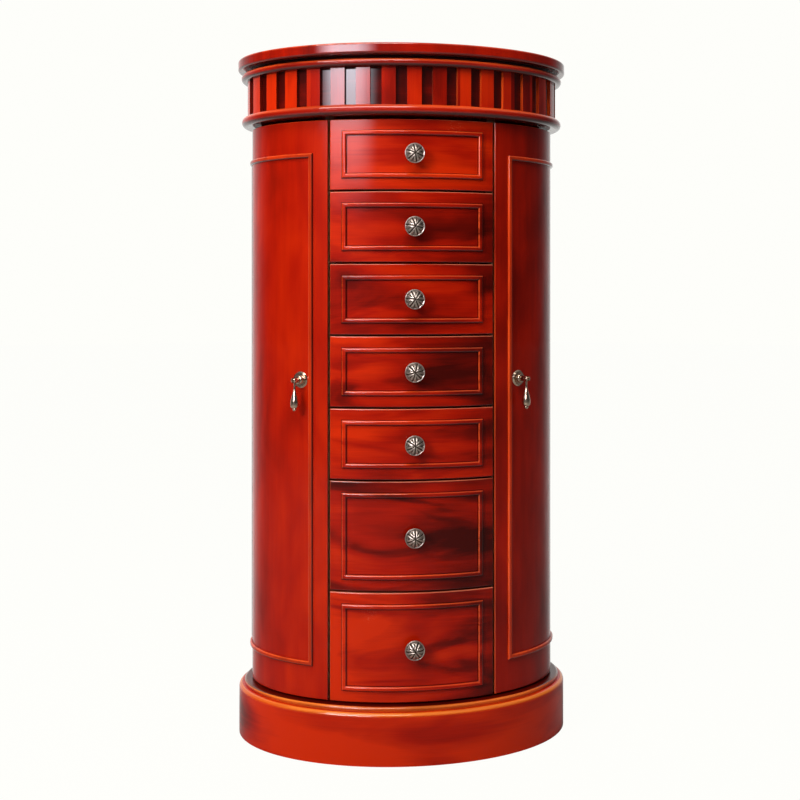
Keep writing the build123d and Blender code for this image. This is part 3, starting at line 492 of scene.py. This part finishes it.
def groove(angle, ray, radius, width):
    """How deep a groove along the ray is at that angle, 0 to 1."""
    turn = math.remainder(angle - ray, 2 * math.pi)
    if abs(turn) > math.pi / 2:
        return 0.0
    return math.exp(-((turn * radius / width) ** 2))


def rosette_hollow(angle, share):
    """How deep the casting's pattern is, 0 to 1, at that angle and share of the dome's radius: a groove between
    the petals, a vein on each that forks half way, a ring inside the rim and the hub."""
    radius = share * DOME_RADIUS
    deepest = 0.0
    for petal in range(PETALS):
        ray = 2 * math.pi * petal / PETALS
        between = groove(angle, ray, radius, 0.00065 + 0.0008 * share)
        vein = groove(angle, ray + math.pi / PETALS, radius, 0.00052) * min(1.0, max(0.0, (share - 0.32) / 0.2))
        fork = 0.0
        if 0.55 < share < 0.93:
            for sign in (-1, 1):
                turn = sign * (share - 0.55) * 0.42
                fork = max(fork, groove(angle, ray + math.pi / PETALS + turn, radius, 0.00048))
        deepest = max(deepest, between, vein, 0.95 * fork)
    rim_ring = math.exp(-(((share - 0.95) / 0.03) ** 2))
    hub = math.exp(-((share / 0.10) ** 2))
    return max(deepest, 0.9 * rim_ring, 0.9 * hub)


def circle(radius, count):
    """Points round a knob's axis, each with its angle."""
    for step in range(count):
        angle = 2 * math.pi * step / count
        yield angle, radius * math.cos(angle), radius * math.sin(angle)


def skin(bm, tip, rings, inward=False):
    """Closes rings of vertices into one turned skin, from the tip to a flat end."""
    count = len(rings[0])
    for turn in range(count):
        after = (turn + 1) % count
        faces = [(tip, rings[0][turn], rings[0][after])]
        faces += [(inner[turn], outer[turn], outer[after], inner[after]) for inner, outer in zip(rings, rings[1:])]
        for first, *others in faces:
            bm.faces.new((first, *(reversed(others) if inward else others)))
    bmesh.ops.contextual_create(bm, geom=rings[-1])


def knob_mesh(level, spin):
    bm = bmesh.new()
    hollow_layer = bm.verts.layers.float.new("hollow")
    ball = ((PROJECTION - RIM_REACH) ** 2 + DOME_RADIUS**2) / (2 * (PROJECTION - RIM_REACH))
    rings = []
    for ring in range(1, DOME_RINGS + 1):
        share = ring / DOME_RINGS
        radius = share * DOME_RADIUS
        reach = PROJECTION - ball + math.sqrt(ball**2 - radius**2)
        row = []
        for angle, x, z in circle(radius, KNOB_SEGMENTS):
            hollow = rosette_hollow(angle + spin, share)
            grain = noise.noise(Vector((x * 900, z * 900, level * 50)))
            depth = hollow * GROOVE_DEPTH + grain * CAST_GRAIN
            vert = bm.verts.new((x, -(HALF_DEPTH + reach - depth), level + z))
            vert[hollow_layer] = min(1.0, hollow * 1.05 + max(0.0, grain) * 0.25)
            row.append(vert)
        rings.append(row)
    for radius, reach in TURNED_BODY:
        row = []
        for _, x, z in circle(radius, KNOB_SEGMENTS):
            vert = bm.verts.new((x, -(HALF_DEPTH + reach), level + z))
            vert[hollow_layer] = 0.65 if reach < UNDERSIDE_REACH else 0.3
            row.append(vert)
        rings.append(row)
    centre = bm.verts.new((0, -(HALF_DEPTH + PROJECTION - HUB_DEPTH), level))
    centre[hollow_layer] = 0.9
    skin(bm, centre, rings)

    rings = []
    for radius, reach in SCREW:
        row = []
        for _, x, z in circle(radius, SCREW_SEGMENTS):
            in_slot = abs(x) < SLOT_HALF_WIDTH and reach < SLOT_REACH
            row.append(bm.verts.new((x, -(reach + (SLOT_DEPTH if in_slot else 0)), level + z)))
        rings.append(row)
    skin(bm, bm.verts.new((0, -(HEAD_TOP + SLOT_DEPTH), level)), rings, inward=True)
    bmesh.ops.recalc_face_normals(bm, faces=bm.faces)
    return bm


SPINS = (0.35, 1.25, 0.1, 0.8, 0.55, 1.6, 0.95)
silver = metal("antique_silver", SILVER, 0.24, cavity=True)
for number, spin in zip(DRAWERS, SPINS):
    low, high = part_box(f"drawer_{number}_knob")
    knob = new_piece(f"drawer_{number}_rosette_knob", knob_mesh((low.z + high.z) / 2, spin), silver,
                     f"drawer_{number}")
    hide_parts(f"drawer_{number}_knob")


# Ring rolls: velvet pads side by side in the top tray
roll_low, roll_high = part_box("ring_rolls")
ROLL_COUNT = 7
ROLL_PITCH = 0.019
ROLL_RADIUS = 0.009
ROLL_FLAT = 0.001
ROLL_SLACK = 0.0003
ROLL_END = 0.006
ROLL_WRINKLE = 0.00025
ROLL_STATIONS = 72
ROLL_SEGMENTS = 32


def padded_rolls():
    bm = bmesh.new()
    half = roll_high.y
    centre_z = roll_low.z + ROLL_RADIUS - ROLL_FLAT
    for roll in range(ROLL_COUNT):
        x = (roll - (ROLL_COUNT - 1) / 2) * ROLL_PITCH
        rows = []
        for station in range(ROLL_STATIONS + 1):
            share = station / ROLL_STATIONS
            y = -half + 2 * half * share
            into_end = min(y + half, half - y)
            closing = math.sqrt(max(0.0, 1 - (1 - min(1.0, into_end / ROLL_END)) ** 2))
            swell = 1 - 0.02 * math.sin(share * 9 * math.pi + roll) ** 2
            row = []
            for turn in range(ROLL_SEGMENTS):
                angle = 2 * math.pi * turn / ROLL_SEGMENTS
                wrinkle = noise.noise(Vector((x * 40, y * 60, angle))) * ROLL_WRINKLE
                reach = (ROLL_RADIUS - ROLL_SLACK) * max(0.06, closing) * swell + wrinkle * closing
                row.append(bm.verts.new((x + reach * math.cos(angle), y,
                                         max(roll_low.z, centre_z + reach * math.sin(angle)))))
            rows.append(row)
        for one, two in zip(rows, rows[1:]):
            for turn in range(ROLL_SEGMENTS):
                after = (turn + 1) % ROLL_SEGMENTS
                bm.faces.new((one[turn], one[after], two[after], two[turn]))
        bmesh.ops.contextual_create(bm, geom=rows[0])
        bmesh.ops.contextual_create(bm, geom=rows[-1])
    bmesh.ops.recalc_face_normals(bm, faces=bm.faces)
    return bm


rolls = new_piece("velvet_ring_rolls", padded_rolls(), felt("roll_velvet", 4.4), "case")
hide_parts("ring_rolls")


# Reflections see white only behind the cabinet: the share of the way to the back where that starts and is full
WHITE_BEHIND = (0.20, 0.90)
FLOOR_RADIUS = 14.0


def rays_seen(shader):
    """The light path's outputs, and 1 for what the camera sees, also through glass."""
    rays = shader.node("ShaderNodeLightPath").outputs
    return rays, shader.math("ADD", rays["Is Camera Ray"], rays["Is Transmission Ray"], clamp=True)


def floor_material():
    """Plain white to the camera, less a little of its matt self, which holds the cabinet's shadow."""
    shader = Shader("floor_white")
    rays, seen = rays_seen(shader)
    x, y, _ = shader.place()
    far = shader.math("ADD", shader.math("MULTIPLY", x, x), shader.math("MULTIPLY_ADD", y, y, 0.0001))
    far_side = shader.smooth(shader.math("DIVIDE", y, shader.math("SQRT", far)), *WHITE_BEHIND)
    white = shader.math("MULTIPLY_ADD", rays["Is Glossy Ray"], far_side, seen, clamp=True)
    matt = shader.node("ShaderNodeBsdfDiffuse", {"Color": (0.42, 0.42, 0.41, 1)}).outputs[0]
    plain = shader.node("ShaderNodeEmission", {"Color": (1.0, 1.0, 0.968, 1), "Strength": 1.02}).outputs[0]
    share = shader.math("MULTIPLY", white, 0.96)
    return shader.surface(shader.node("ShaderNodeMixShader", {0: share, 1: matt, 2: plain}).outputs[0])


floor_bm = bmesh.new()
bmesh.ops.create_circle(floor_bm, cap_ends=True, segments=96, radius=FLOOR_RADIUS)
floor_mesh = bpy.data.meshes.new("floor")
floor_bm.to_mesh(floor_mesh)
floor_bm.free()
floor_mesh.materials.append(floor_material())
floor = bpy.data.objects.new("floor", floor_mesh)
bpy.context.scene.collection.objects.link(floor)

# The room: white behind the cabinet, paler overhead and darker in front of it, plain white to the camera
world = bpy.data.worlds.new("studio")
bpy.context.scene.world = world
world.use_nodes = True
world.node_tree.nodes.clear()
room = Nodes(world.node_tree)
_, backward, upward = room.split(room.node("ShaderNodeTexCoord").outputs["Generated"])
pale = room.math("MAXIMUM", room.smooth(backward, *WHITE_BEHIND), room.smooth(upward, 0.45, 0.95, most=0.35))
reflected = room.mix(pale, (0.075, 0.075, 0.08, 1), (0.95, 0.95, 0.93, 1))
shown = room.mix(rays_seen(room)[1], reflected, (0.99, 0.99, 0.955, 1))
backdrop = room.node("ShaderNodeBackground", {"Color": shown, "Strength": 1.0})
room.node("ShaderNodeOutputWorld", {0: backdrop.outputs[0]})

AIM = Vector((0, 0, 0.55))


def soft_light(name, azimuth, distance, height, size, radiance, colour, fade=None, lights=True, reflects=True):
    """A rectangular softbox aimed at the cabinet, with its azimuth from the front, to the right.
    fade softens its edges: the share of its width at each side, and of its height at one end and the other.
    lights and reflects say whether it lights surfaces and shows in reflections."""
    lamp = bpy.data.lights.new(name, "AREA")
    lamp.shape = "RECTANGLE"
    lamp.size, lamp.size_y = size
    lamp.energy = radiance * size[0] * size[1] * math.pi
    lamp.color = colour
    holder = bpy.data.objects.new(name, lamp)
    turn = math.radians(azimuth)
    holder.location = (distance * math.sin(turn), -distance * math.cos(turn), height)
    holder.rotation_euler = (AIM - holder.location).to_track_quat("-Z", "Y").to_euler()
    holder.visible_glossy = reflects
    holder.visible_diffuse = lights
    bpy.context.scene.collection.objects.link(holder)
    if fade:
        lamp.use_nodes = True
        panel = Nodes(lamp.node_tree)
        emission = next(node for node in panel.tree.nodes if node.type == "EMISSION")
        across, along, _ = panel.split(panel.node("ShaderNodeNewGeometry").outputs["Parametric"])
        side, start, end = fade
        edges = ((across, 0.0, side), (across, 1.0, 1 - side), (along, 0.0, start), (along, 1.0, 1 - end))
        strength = 1.0
        for edge in edges:
            strength = panel.math("MULTIPLY", strength, panel.smooth(*edge))
        panel.put(emission.inputs["Strength"], strength)


soft_light("window", azimuth=-29, distance=2.7, height=1.36, size=(1.75, 0.95), radiance=30.0,
           colour=(0.93, 0.90, 1.0), fade=(0.38, 0.75, 0.12), lights=False)
soft_light("left_key", azimuth=-46, distance=2.6, height=1.75, size=(0.8, 0.8), radiance=21.5,
           colour=(1.0, 0.99, 0.97), reflects=False)
soft_light("sky_panel", azimuth=-24, distance=1.5, height=2.75, size=(1.8, 0.9), radiance=7.4,
           colour=(1.0, 0.99, 0.97))

# Camera, fitted to the photograph: the focal length and the row of the horizon are in its pixels
PHOTO_SIZE = 800
FOCAL_LENGTH = 1140.8
HORIZON_ROW = 294.46
SENSOR_WIDTH = 36.0
LOOKING = (0.1064, 0.9943)
camera_data = bpy.data.cameras.new("camera")
camera_data.sensor_width = SENSOR_WIDTH
camera_data.lens = FOCAL_LENGTH * SENSOR_WIDTH / PHOTO_SIZE
camera_data.shift_y = -(PHOTO_SIZE / 2 - HORIZON_ROW) / PHOTO_SIZE
camera = bpy.data.objects.new("camera", camera_data)
camera.location = (-0.1888, -1.7270, 0.6518)
camera.rotation_euler = (math.pi / 2, 0, -math.atan2(*LOOKING))
bpy.context.scene.collection.objects.link(camera)
bpy.context.scene.camera = camera
bpy.context.scene.view_settings.view_transform = "Standard"
